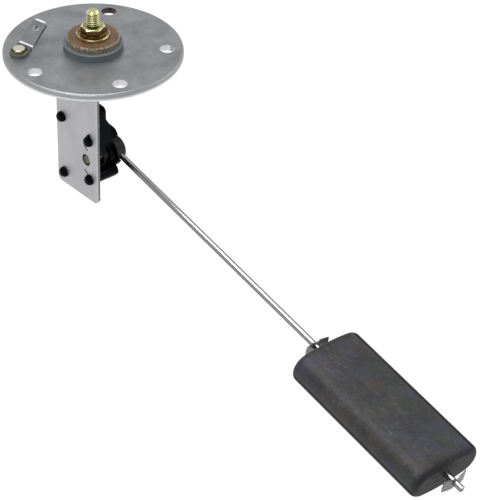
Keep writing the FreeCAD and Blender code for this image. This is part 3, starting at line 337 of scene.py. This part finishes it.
def revolved(name, rings):
    """A closed skin through rings of points, each ring given as a radius for every angle."""
    verts = []
    for level, radii in rings:
        for k in range(AROUND):
            angle = 2 * math.pi * k / AROUND
            radius = radii(k / AROUND) if callable(radii) else radii
            verts.append((radius * math.cos(angle) / MM_PER_M, radius * math.sin(angle) / MM_PER_M,
                          level / MM_PER_M))
    faces = []
    for row in range(len(rings) - 1):
        for k in range(AROUND):
            a, b = row * AROUND + k, row * AROUND + (k + 1) % AROUND
            faces.append((a, b, b + AROUND, a + AROUND))
    faces.append(tuple(reversed(range(AROUND))))
    faces.append(tuple(range((len(rings) - 1) * AROUND, len(rings) * AROUND)))
    mesh = bpy.data.meshes.new(name)
    mesh.from_pydata(verts, [], faces)
    return mesh


def new_piece(name, mesh, material):
    """An object for a finished mesh, smooth where its faces meet at a shallow angle."""
    mesh.materials.clear()
    mesh.materials.append(material)
    mesh.shade_smooth()
    mesh.set_sharp_from_angle(angle=SMOOTH_BELOW)
    piece = bpy.data.objects.new(name, mesh)
    bpy.context.scene.collection.objects.link(piece)
    return piece


def thread_radius(level):
    """The thread's radius round one ring: a rounded vee that climbs one pitch a turn."""
    def radius(turn):
        phase = (level / STUD["pitch"] - turn) % 1
        vee = 1 - abs(2 * phase - 1)
        flank = min(1, max(0, (vee - STUD["root_flat"]) / STUD["flank"]))
        start = min(1, max(0, (level - STUD["thread_from"]) / STUD["run_in"]))
        crest = STUD["root"] + (STUD["crest"] - STUD["root"]) * flank * start
        return min(crest, STUD["crest"] - STUD["chamfer"] + max(0, STUD["tip"] - level))
    return radius


def stud_rings():
    """The stud's rings from the head's underside to the tip, as heights and radii."""
    rings = [(STUD["head_low"], STUD["head"] - STUD["head_round"]),
             (STUD["head_low"] + STUD["head_ease"], STUD["head"] - STUD["head_ease"]),
             (STUD["head_low"] + STUD["head_round"], STUD["head"]),
             (STUD["head_high"], STUD["head"]), (STUD["head_high"], STUD["root"])]
    level = STUD["thread_from"]
    while level < STUD["tip"] - LEAST_ROW:
        rings.append((level, thread_radius(level)))
        level += STUD["pitch"] / ROWS_PER_TURN
    rings.append((STUD["tip"], thread_radius(STUD["tip"])))
    return rings


def zinc_thread():
    """Yellow zinc, pale on the crests and at the tip, with painted shade in the roots."""
    material, tree, shader, place = start_finish("yellow zinc on a rolled thread", {
        "Metallic": 1.0, "Roughness": 0.24})
    radius, height = round_an_axis(tree, place)
    # Painted shade in the roots, from the root up to dark_to, fading to the crest colour by pale_from.
    flank = add_node(tree, RANGE, links={"Value": radius}, values={
        "From Min": STUD["root"] + STUD["dark_to"], "From Max": STUD["root"] + STUD["pale_from"]})
    crest = two_tones(tree, place, 2, ("#E2DC96", "#F7F4C6"))[1]
    thread = add_node(tree, MIX, COLOURS, {UNDER: linear("#4C4718")}, {SHARE: flank, OVER: crest})
    tip = add_node(tree, MATH, {"operation": "GREATER_THAN"}, {1: STUD["tip"] - STUD["chamfer"]},
                   {0: height})
    whole = add_node(tree, MIX, COLOURS, links={SHARE: tip, UNDER: thread, OVER: crest})
    link_in(tree, shader, {"Base Color": whole})
    return material


threaded_stud = new_piece("threaded_stud", revolved("threaded_stud", stud_rings()), zinc_thread())
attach(threaded_stud, "fixed_assembly")
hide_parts("terminal_stud")


# Ground terminal: a spade blade with an eye, pressed from tinned brass strip and bent up,
# clamped by the ground screw. The strip from the stud into the housing is tinned too.
# The blade's run is the way that its length points.
BLADE_RUN = (-0.264, 0.9645, 0)
# Painted highlight lines cross the blade at the bend and the tip, BLADE_LINE either side, and the hole takes
# a painted reflection.
BLADE_BEND = -0.0144
BLADE_TIP = -0.0057
BLADE_LINE = 0.0004
BLADE_HOLE = (-0.01695, -0.01348, 0.0073)
BLADE_HOLE_REACH = 0.00112


def tinned_strip():
    """Grey like the flange, with painted highlight lines at the bend and the tip and a painted reflection in
    the hole.
    """
    material, tree, shader, place = start_finish("tinned brass strip", {"Metallic": 1.0})
    cloud, whole = two_tones(tree, place, 3.5, ("#717376", "#85878A"), detail=4)
    run = add_node(tree, VECTOR_MATH, {"operation": "DOT_PRODUCT"}, {1: BLADE_RUN}, {0: place})
    # Painted highlights across the blade at the bend and the tip.
    for line in (BLADE_BEND, BLADE_TIP):
        bright = add_node(tree, MATH, {"operation": "COMPARE"}, {1: line, 2: BLADE_LINE}, {0: run})
        whole = add_node(tree, MIX, COLOURS, {OVER: linear("#F4F4F4")}, {SHARE: bright, UNDER: whole})
    away = add_node(tree, VECTOR_MATH, {"operation": "DISTANCE"}, {1: BLADE_HOLE}, {0: place})
    hole = add_node(tree, MATH, {"operation": "LESS_THAN"}, {1: BLADE_HOLE_REACH}, {0: away})
    whole = add_node(tree, MIX, COLOURS, {OVER: linear("#D0D1D3")}, {SHARE: hole, UNDER: whole})
    dull = add_node(tree, RANGE, values={"To Min": 0.26, "To Max": 0.42}, links={"Value": cloud})
    link_in(tree, shader, {"Base Color": whole, "Roughness": dull})
    return material


dress(tinned_strip(), "ground_terminal", "lead_strip")


# Ground screw: a small hex washer-head screw, headed and threaded, in bright zinc plate
# with a faint cream tint. The turned crown keeps the pale colour; round it the chamfer and the hex take a
# dark painted shade, and the washer face below a lighter painted shade.
SCREW_MIDDLE = (-12.22, -24.41, 0)
SCREW_CROWN_TO = 2.15
SCREW_CHAMFER_FROM = 2.27
SCREW_CHAMFER_ABOVE = 4.3
SCREW_SIDES_BELOW = 4.0


def screw_finish():
    material, tree, shader, place, cream = cloudy_metal(
        "bright zinc plate", ("#F1EED8", "#FBF9E8"), 0.3)
    radius, height = round_an_axis(tree, place, SCREW_MIDDLE)
    beyond = add_node(tree, RANGE, values={"From Min": SCREW_CROWN_TO, "From Max": SCREW_CHAMFER_FROM},
                      links={"Value": radius})
    # Dark painted shade round the crown.
    chamfer = add_node(tree, MIX, COLOURS, {OVER: linear("#4E4C3E")}, {SHARE: beyond, UNDER: cream})
    # Lighter painted shade on the washer face below.
    low = add_node(tree, RANGE, values={"From Min": SCREW_CHAMFER_ABOVE, "From Max": SCREW_SIDES_BELOW},
                   links={"Value": height})
    whole = add_node(tree, MIX, COLOURS, {OVER: linear("#A9A796")}, {SHARE: low, UNDER: chamfer})
    link_in(tree, shader, {"Base Color": whole})
    return material


dress(screw_finish(), "ground_screw")


# Resistor housing and rotor: moulded in black acetal, with a fine even grain from the
# mould and slightly paler patches where the resin flowed together. The housing is nearly
# black. The rotor has a satin sheen, and its colour is painted a little greyer as the light on its front.
def black_acetal(name, tones, shine):
    material, tree, shader, place = start_finish(name, {"Specular IOR Level": shine})
    colour = two_tones(tree, place, 5, tones)[1]
    grain = add_node(tree, NOISE, values={"Scale": per_metre(0.4), "Detail": 3, "Roughness": 0.6},
                     links={"Vector": place})
    dull = add_node(tree, RANGE, values={"To Min": 0.3, "To Max": 0.46}, links={"Value": grain})
    bump = add_node(tree, BUMP, values={"Strength": 0.3, "Distance": 0.00005}, links={"Height": grain})
    link_in(tree, shader, {"Base Color": colour, "Roughness": dull, "Normal": bump})
    return material


dress(black_acetal("moulded black acetal", ("#030509", "#080B12"), 0.06), "resistor_housing")
# The rotor's greyer colour is painted light.
dress(black_acetal("glossier black acetal painted lighter", ("#0F1211", "#1C201E"), 0.4), "rotor_hub")


# Resistor card: a strip of pressboard, curved on edge in the housing's chamber. Brown,
# with its fibres showing through the varnish.
def pressboard():
    material, tree, shader, place = start_finish("varnished pressboard", {"Roughness": 0.5})
    fibres, colour = two_tones(tree, place, 0.5, ("#7A5A3C", "#A98660"), detail=4, roughness=0.7)
    bump = add_node(tree, BUMP, values={"Strength": 0.3, "Distance": 0.00004}, links={"Height": fibres})
    link_in(tree, shader, {"Base Color": colour, "Normal": bump})
    return material


dress(pressboard(), "resistor_card")


# Resistance winding: fine nickel-chrome wire wound close round the card, one turn after
# another along its arc. The real wire is finer still: the turns are as coarse as they need
# to be to show. Sizes are in millimetres.
WINDING = {"radius": 13.25, "half_angle": 46.5, "radial": 1.0, "axial": 5.2, "wire": 0.2,
           "pitch": 0.26, "round": 0.3, "middle": -3.0, "pivot_x": 5.3, "pivot_z": -41.2}
ARC_STEPS = 120
CORNER_STEPS = 2
WIRE_SIDES = 6
ON_EDGE = (math.radians(90), 0, 0)


def winding_tree(material):
    """The node tree that strings one turn of wire along an arc, over and over."""
    tree = bpy.data.node_groups.new("wire_turns", "GeometryNodeTree")
    tree.interface.new_socket("Geometry", in_out="INPUT", socket_type="NodeSocketGeometry")
    for name, kind in (("Arc radius", "NodeSocketFloat"), ("Start angle", "NodeSocketFloat"),
                       ("Sweep angle", "NodeSocketFloat"), ("Turns", "NodeSocketInt"),
                       ("Turn width", "NodeSocketFloat"), ("Turn height", "NodeSocketFloat"),
                       ("Corner radius", "NodeSocketFloat"), ("Wire radius", "NodeSocketFloat"),
                       ("Slant", "NodeSocketFloat"), ("Centre", "NodeSocketVector")):
        tree.interface.new_socket(name, in_out="INPUT", socket_type=kind)
    tree.interface.new_socket("Geometry", in_out="OUTPUT", socket_type="NodeSocketGeometry")
    given = add_node(tree, "NodeGroupInput").outputs
    arc = add_node(tree, "GeometryNodeCurveArc", {"mode": "RADIUS"}, {"Resolution": ARC_STEPS},
                   {"Radius": given["Arc radius"], "Start Angle": given["Start angle"],
                    "Sweep Angle": given["Sweep angle"]})
    upright = add_node(tree, "GeometryNodeSetCurveNormal", {"mode": "Z_UP"}, links={"Curve": arc})
    spots = add_node(tree, "GeometryNodeCurveToPoints", {"mode": "COUNT"},
                     links={"Curve": upright, "Count": given["Turns"]}).outputs
    outline = add_node(tree, "GeometryNodeCurvePrimitiveQuadrilateral",
                       links={"Width": given["Turn width"], "Height": given["Turn height"]})
    eased = add_node(tree, "GeometryNodeFilletCurve", {"mode": "POLY"}, {"Count": CORNER_STEPS},
                     {"Curve": outline, "Radius": given["Corner radius"]})
    section = add_node(tree, "GeometryNodeCurvePrimitiveCircle", values={"Resolution": WIRE_SIDES},
                       links={"Radius": given["Wire radius"]})
    turn = add_node(tree, "GeometryNodeCurveToMesh", links={"Curve": eased, "Profile Curve": section})
    slant = add_node(tree, "ShaderNodeCombineXYZ", links={"X": given["Slant"]})
    tilted = add_node(tree, "GeometryNodeTransform", links={"Geometry": turn, "Rotation": slant})
    strung = add_node(tree, "GeometryNodeInstanceOnPoints",
                      links={"Points": spots["Points"], "Rotation": spots["Rotation"], "Instance": tilted})
    placed = add_node(tree, "GeometryNodeTransform", values={"Rotation": ON_EDGE},
                      links={"Geometry": strung, "Translation": given["Centre"]})
    real = add_node(tree, "GeometryNodeRealizeInstances", links={"Geometry": placed})
    finished = add_node(tree, "GeometryNodeSetMaterial", values={"Material": material},
                        links={"Geometry": real})
    add_node(tree, "NodeGroupOutput", links={"Geometry": finished})
    return tree


def grown(name, tree, inputs, material):
    """The plain mesh that a node tree makes with these inputs, as a finished piece."""
    seed = bpy.data.objects.new(name + "_seed", bpy.data.meshes.new(name + "_seed"))
    bpy.context.scene.collection.objects.link(seed)
    maker = seed.modifiers.new("maker", "NODES")
    maker.node_group = tree
    for socket in tree.interface.items_tree:
        if socket.in_out == "INPUT" and socket.name in inputs:
            maker[socket.identifier] = inputs[socket.name]
    made = seed.evaluated_get(bpy.context.evaluated_depsgraph_get())
    mesh = bpy.data.meshes.new_from_object(made)
    seed.modifiers.remove(maker)
    bpy.data.objects.remove(seed)
    return new_piece(name, mesh, material)


def resistance_wire():
    """Bare wire, a warm satin grey."""
    material, tree, shader, place = start_finish("nickel-chrome wire", {
        "Metallic": 1.0, "Roughness": 0.34})
    colour = two_tones(tree, place, 2, ("#8F8676", "#BFB6A4"), detail=2)[1]
    link_in(tree, shader, {"Base Color": colour})
    return material


wire_finish = resistance_wire()
sweep = math.radians(2 * WINDING["half_angle"])
winding_turns = grown("winding_turns", winding_tree(wire_finish), {
    "Arc radius": WINDING["radius"] / MM_PER_M,
    "Start angle": math.radians(180 - WINDING["half_angle"]),
    "Sweep angle": sweep,
    "Turns": int(WINDING["radius"] * sweep / WINDING["pitch"]),
    "Turn width": WINDING["radial"] / MM_PER_M,
    "Turn height": WINDING["axial"] / MM_PER_M,
    "Corner radius": WINDING["round"] / MM_PER_M,
    "Wire radius": WINDING["wire"] / 2 / MM_PER_M,
    "Slant": math.atan(WINDING["pitch"] / 2 / WINDING["axial"]),
    "Centre": (WINDING["pivot_x"] / MM_PER_M, WINDING["middle"] / MM_PER_M, WINDING["pivot_z"] / MM_PER_M),
}, wire_finish)
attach(winding_turns, "fixed_assembly")
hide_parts("resistance_winding")


# Wiper, retaining clip and ground spring: cut and bent from nickel silver strip. A warm
# grey metal, satin from the rolls.
def nickel_silver():
    material, tree, shader, place = start_finish("nickel silver strip", {"Metallic": 1.0})
    cloud, colour = two_tones(tree, place, 2, ("#3A3B31", "#595A4C"), detail=4)
    dull = add_node(tree, RANGE, values={"To Min": 0.38, "To Max": 0.55}, links={"Value": cloud})
    link_in(tree, shader, {"Base Color": colour, "Roughness": dull})
    return material


dress(nickel_silver(), "wiper_contact", "retaining_clip", "ground_spring")


# Pivot pin: turned brass, run through the rotor and the housing and held by the clip. Its
# end shows in the round window in the bracket, dull and greyish.
dress(cloudy_metal("turned brass", ("#5A5642", "#7D7760"), 0.3)[0], "pivot_pin")


# Float rod: bright drawn steel wire, straight, lying in the rotor's channel and through
# the float. Its colour is painted light and shade in bands across the arm: the dark drawn streaks at the
# lower edge, then grey, then a white painted highlight, then a dark line of painted shade along the upper
# edge.
# Each band starts at its distance across the arm.
ARM_PIVOT = (0.0053, 0, -0.0412)
ARM_TILT = math.radians(9.9)
FLOAT_AXIS_Y = (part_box("float")[0][1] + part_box("float")[1][1]) / 2
ARM_MIDDLE = (0, FLOAT_AXIS_Y, ARM_PIVOT[2])
SILHOUETTE_TURN = math.radians(37)
CROSSWISE = (0, math.cos(SILHOUETTE_TURN), math.sin(SILHOUETTE_TURN))
ROD_STRETCH = (0.03, 1, 1)
ROD_PAINTED_LIGHT_BANDS = ((-0.00102, "#9A9A9B"), (0.00005, "#F0F0F0"), (0.00092, "#464647"))


def across_the_arm(tree, place):
    """A point in the arm's own level frame, and how far it is from the middle, crosswise."""
    straight = add_node(tree, "ShaderNodeVectorRotate", {"rotation_type": "Y_AXIS"},
                        {"Center": ARM_PIVOT, "Angle": -ARM_TILT}, {"Vector": place})
    centred = add_node(tree, VECTOR_MATH, {"operation": "SUBTRACT"}, {1: ARM_MIDDLE}, {0: straight})
    across = add_node(tree, VECTOR_MATH, {"operation": "DOT_PRODUCT"}, {1: CROSSWISE}, {0: centred})
    return straight, across


def drawn_steel():
    material, tree, shader, place = start_finish("bright drawn steel wire", {
        "Metallic": 1.0, "Roughness": 0.22, "Specular Tint": linear("#404040")})
    straight, across = across_the_arm(tree, place)
    along = add_node(tree, MAPPING, values={"Scale": ROD_STRETCH}, links={"Vector": straight})
    whole = two_tones(tree, along, 0.35, ("#4C4C4D", "#5E5E5F"))[1]
    # Painted light and shade, band by band.
    for start, code in ROD_PAINTED_LIGHT_BANDS:
        past = add_node(tree, MATH, {"operation": "GREATER_THAN"}, {1: start}, {0: across})
        whole = add_node(tree, MIX, COLOURS, {OVER: linear(code)}, {SHARE: past, UNDER: whole})
    link_in(tree, shader, {"Base Color": whole})
    return material


dress(drawn_steel(), "float_rod")


# Push nuts: thin spring steel stampings, pushed on the rod at each end of the float. Their
# zinc is dull, with a patchy gloss.
def spring_steel():
    material, tree, shader, place = start_finish("dull zinc on spring steel", {"Metallic": 1.0})
    cloud, colour = two_tones(tree, place, 1.5, ("#73726F", "#A09F9B"), detail=4)
    dull = add_node(tree, RANGE, values={"To Min": 0.3, "To Max": 0.5}, links={"Value": cloud})
    link_in(tree, shader, {"Base Color": colour, "Roughness": dull})
    return material


dress(spring_steel(), "inner_push_nut", "outer_push_nut")


# Float: closed-cell nitrile rubber, blown and cured in a mould, so it has a skin. Charcoal,
# matt, with faint brown, green and blue clouds, fine pores and shallow creases with a painted highlight along
# them.
# Painted shade makes the skin near black along both long outlines and darker at the ends, where its sheen is
# lowered too.
FLOAT_MIDDLE = ARM_PIVOT[0] + 0.1551
# The ends take part of the painted shade, growing between these distances from the float's middle, in metres.
FLOAT_END_FROM = 0.028
FLOAT_END_TO = 0.0325
FLOAT_END_SHADE = 0.65
# Painted shade along both long outlines grows between these distances across the arm, in metres.
OUTLINE_SHADE_FROM = 0.01205
OUTLINE_SHADE_TO = 0.01255
# Each cloud's shift, its size in millimetres and its colour.
FLOAT_CLOUDS = ((3.4, 10, "#3C2E22"), (7.7, 9, "#29321E"), (12.9, 12, "#31304A"))
CREASE_STRETCH = (0.4, 1.0, 1.0)
CREASE_WIDTH = 0.03
CREASE_HIGHLIGHT = 0.5
NOISE_MIDDLE = 0.5


def clouded_charcoal(tree, place):
    """The skin's random shade of grey as a pattern, and its colour with the clouds and a painted highlight
    along the creases.
    """
    shade = add_node(tree, NOISE, values={"Scale": per_metre(9), "Detail": 6, "Roughness": 0.6},
                     links={"Vector": place})
    shaded = add_node(tree, RANGE, values={"From Min": 0.35, "From Max": 0.65}, links={"Value": shade})
    streak = add_node(tree, NOISE, links={"Vector": place}, values={
        "Scale": per_metre(1.8), "Detail": 4, "Roughness": 0.7, "Distortion": 1.2})
    streaked = add_node(tree, RANGE, values={"From Min": 0.3, "From Max": 0.7}, links={"Value": streak})
    uneven = add_node(tree, MATH, {"operation": "MULTIPLY"}, links={0: shaded, 1: streaked})
    tint = add_node(tree, MIX, COLOURS, {UNDER: linear("#0F1012"), OVER: linear("#36373D")}, {SHARE: uneven})
    for shift, size, code in FLOAT_CLOUDS:
        moved = add_node(tree, MAPPING, values={"Location": (shift, shift, 0)}, links={"Vector": place})
        cloud = add_node(tree, NOISE, values={"Scale": per_metre(size), "Detail": 3}, links={"Vector": moved})
        patch = add_node(tree, RANGE, values={"From Min": 0.53, "From Max": 0.66, "To Max": 0.6},
                         links={"Value": cloud})
        tint = add_node(tree, MIX, COLOURS, {OVER: linear(code)}, {SHARE: patch, UNDER: tint})
    drawn = add_node(tree, MAPPING, values={"Scale": CREASE_STRETCH}, links={"Vector": place})
    crease = add_node(tree, NOISE, values={"Scale": per_metre(3.4), "Detail": 2.5, "Distortion": 0.5},
                      links={"Vector": drawn})
    aside = add_node(tree, MATH, {"operation": "SUBTRACT"}, {1: NOISE_MIDDLE}, {0: crease})
    line = add_node(tree, MATH, {"operation": "ABSOLUTE"}, links={0: aside})
    # Painted highlight along each crease, broken up by the skin's grey pattern.
    crease_highlight = add_node(tree, RANGE, values={"From Max": CREASE_WIDTH, "To Min": CREASE_HIGHLIGHT, "To Max": 0.0},
                      links={"Value": line})
    broken = add_node(tree, MATH, {"operation": "MULTIPLY"}, links={0: crease_highlight, 1: shaded})
    tint = add_node(tree, MIX, COLOURS, {OVER: linear("#62646C")}, {SHARE: broken, UNDER: tint})
    return shade, tint


def painted_outline_shade(tree, place):
    """How much painted shade the skin takes: fully along both long outlines, and partly at the ends."""
    straight, across = across_the_arm(tree, place)
    aside = add_node(tree, MATH, {"operation": "ABSOLUTE"}, links={0: across})
    side = add_node(tree, RANGE, {"interpolation_type": "SMOOTHSTEP"},
                    {"From Min": OUTLINE_SHADE_FROM, "From Max": OUTLINE_SHADE_TO}, {"Value": aside})
    spot = add_node(tree, "ShaderNodeSeparateXYZ", links={"Vector": straight}).outputs
    along = add_node(tree, MATH, {"operation": "SUBTRACT"}, {1: FLOAT_MIDDLE}, {0: spot["X"]})
    length = add_node(tree, MATH, {"operation": "ABSOLUTE"}, links={0: along})
    end = add_node(tree, RANGE, {"interpolation_type": "SMOOTHSTEP"},
                   {"From Min": FLOAT_END_FROM, "From Max": FLOAT_END_TO, "To Max": FLOAT_END_SHADE},
                   {"Value": length})
    return add_node(tree, MATH, {"operation": "MAXIMUM"}, links={0: side, 1: end})


def blown_rubber():
    material, tree, shader, place = start_finish("closed cell nitrile rubber", {})
    shade, tint = clouded_charcoal(tree, place)
    outline_shade = painted_outline_shade(tree, place)
    # Painted shade: near black along both long outlines and darker at the ends, with less sheen there.
    skin = add_node(tree, MIX, COLOURS, {OVER: linear("#060708")}, {SHARE: outline_shade, UNDER: tint})
    sheen = add_node(tree, RANGE, values={"To Min": 0.66, "To Max": 0.12}, links={"Value": outline_shade})
    dull = add_node(tree, RANGE, values={"To Min": 0.42, "To Max": 0.58}, links={"Value": shade})
    pores = add_node(tree, "ShaderNodeTexVoronoi", values={"Scale": per_metre(0.9), "Randomness": 1.0},
                     links={"Vector": place})
    folds = add_node(tree, NOISE, links={"Vector": place}, values={
        "Scale": per_metre(2.4), "Detail": 6, "Roughness": 0.7, "Distortion": 1.0})
    fine = add_node(tree, BUMP, values={"Strength": 0.25, "Distance": 0.0001},
                    links={"Height": pores.outputs["Distance"]})
    bump = add_node(tree, BUMP, values={"Strength": 0.6, "Distance": 0.0005},
                    links={"Height": folds, "Normal": fine})
    link_in(tree, shader, {"Base Color": skin, "Specular IOR Level": sheen, "Roughness": dull,
                           "Normal": bump})
    return material


dress(blown_rubber(), "float")


# Studio: a pale floor below the float's lowest reach, a white room, a big soft lamp
# overhead and a weaker one high on the right. The floor shows white to the camera and in
# the metal, and keeps the shadow round the middle.
FLOOR_LEVEL = -0.222
FLOOR_RADIUS = 8.0
FLOOR_STEPS = 96
GLOW_FROM = 0.5
GLOW_TO = 1.4
GLOW_NEAR = 0.62
MIRRORED_GLOW = 0.75
ROOM_LIGHT = 0.32
WALL_IN_METAL = 0.9
CEILING_IN_METAL = 0.5
WALL_UP_TO = 0.1
CEILING_FROM = 0.6
LAMP_AIM = Vector((0.08, 0, -0.03))
# Each lamp's name, the way to it, its distance, its width and its power.
LAMPS = (("key", (-0.12, -0.18, 0.976), 1.1, 0.85, 8.0),
         ("fill", (0.25, 0.75, 0.61), 1.3, 0.9, 2.0))
NUMBERS = {"data_type": "FLOAT"}
NUMBER_UNDER, NUMBER_OVER = 2, 3


def pale_paper():
    material = bpy.data.materials.new("matt white paper")
    material.use_nodes = True
    tree = material.node_tree
    tree.nodes.clear()
    place = add_node(tree, "ShaderNodeTexCoord").outputs["Object"]
    flat = add_node(tree, VECTOR_MATH, {"operation": "MULTIPLY"}, {1: FLAT}, {0: place})
    away = add_node(tree, VECTOR_MATH, {"operation": "LENGTH"}, links={0: flat})
    ray = add_node(tree, "ShaderNodeLightPath").outputs
    seen = add_node(tree, MATH, {"operation": "ADD"},
                    links={0: ray["Is Camera Ray"], 1: ray["Is Glossy Ray"]})
    shown = add_node(tree, MATH, {"operation": "ADD", "use_clamp": True},
                     links={0: seen, 1: ray["Is Transmission Ray"]})
    glow = add_node(tree, RANGE, links={"Value": away}, values={
        "From Min": GLOW_FROM, "From Max": GLOW_TO, "To Min": GLOW_NEAR, "To Max": 1.0})
    damped = add_node(tree, RANGE, values={"To Min": 1.0, "To Max": MIRRORED_GLOW},
                      links={"Value": ray["Is Glossy Ray"]})
    share = add_node(tree, MATH, {"operation": "MULTIPLY"}, links={0: damped, 1: shown})
    strength = add_node(tree, MATH, {"operation": "MULTIPLY"}, links={0: glow, 1: share})
    white = add_node(tree, "ShaderNodeEmission", links={"Strength": strength})
    paper = add_node(tree, "ShaderNodeBsdfDiffuse", values={"Color": linear("#C8C8C8")})
    both = add_node(tree, "ShaderNodeAddShader", links={0: white, 1: paper})
    add_node(tree, "ShaderNodeOutputMaterial", links={"Surface": both})
    return material


def paper_disc():
    """A round sheet of paper, as one flat face."""
    turns = [2 * math.pi * k / FLOOR_STEPS for k in range(FLOOR_STEPS)]
    corners = [(FLOOR_RADIUS * math.cos(t), FLOOR_RADIUS * math.sin(t), FLOOR_LEVEL) for t in turns]
    mesh = bpy.data.meshes.new("floor")
    mesh.from_pydata(corners, [], [tuple(range(FLOOR_STEPS))])
    return mesh


floor = bpy.data.objects.new("floor", paper_disc())
floor.data.materials.append(pale_paper())
bpy.context.scene.collection.objects.link(floor)

room = bpy.data.worlds.new("studio")
bpy.context.scene.world = room
room.use_nodes = True
air = room.node_tree
air.nodes.clear()
direction = add_node(air, "ShaderNodeTexCoord").outputs["Generated"]
height = add_node(air, "ShaderNodeSeparateXYZ", links={"Vector": direction}).outputs["Z"]
mirror = add_node(air, RANGE, {"interpolation_type": "SMOOTHSTEP"}, links={"Value": height}, values={
    "From Min": WALL_UP_TO, "From Max": CEILING_FROM, "To Min": WALL_IN_METAL, "To Max": CEILING_IN_METAL})
ray = add_node(air, "ShaderNodeLightPath").outputs
indirect = add_node(air, MIX, NUMBERS, {NUMBER_UNDER: ROOM_LIGHT},
                    {SHARE: ray["Is Glossy Ray"], NUMBER_OVER: mirror})
strength = add_node(air, MIX, NUMBERS, {NUMBER_OVER: 1.0},
                    {SHARE: ray["Is Camera Ray"], NUMBER_UNDER: indirect})
sky = add_node(air, "ShaderNodeBackground", values={"Color": (1, 1, 1, 1)}, links={"Strength": strength})
add_node(air, "ShaderNodeOutputWorld", links={"Surface": sky})

for name, toward, distance, size, power in LAMPS:
    lamp_data = bpy.data.lights.new(name, "AREA")
    lamp_data.shape = "DISK"
    lamp_data.size = size
    lamp_data.energy = power
    lamp = bpy.data.objects.new(name, lamp_data)
    aim = Vector(toward).normalized()
    lamp.rotation_mode = "QUATERNION"
    lamp.rotation_quaternion = aim.to_track_quat("Z", "Y")
    lamp.location = LAMP_AIM + aim * distance
    bpy.context.scene.collection.objects.link(lamp)


# Camera: a long lens, above and to the left of the float, at the photograph's angle.
CAMERA_RIGHT = Vector((0.637858, 0.769586, 0.029577))
CAMERA_UP = Vector((-0.473867, 0.361903, 0.802793))
CAMERA_BACK = Vector((0.607114, -0.526084, 0.595524))
CAMERA_PLACE = Vector((0.514450, -0.370637, 0.380694))

camera_data = bpy.data.cameras.new("camera")
camera_data.sensor_width = 36
camera_data.lens = 144
camera = bpy.data.objects.new("camera", camera_data)
stand = Matrix((CAMERA_RIGHT, CAMERA_UP, CAMERA_BACK)).transposed().to_4x4()
stand.translation = CAMERA_PLACE
camera.matrix_world = stand
bpy.context.scene.collection.objects.link(camera)
bpy.context.scene.camera = camera

bpy.context.scene.view_settings.view_transform = "Standard"
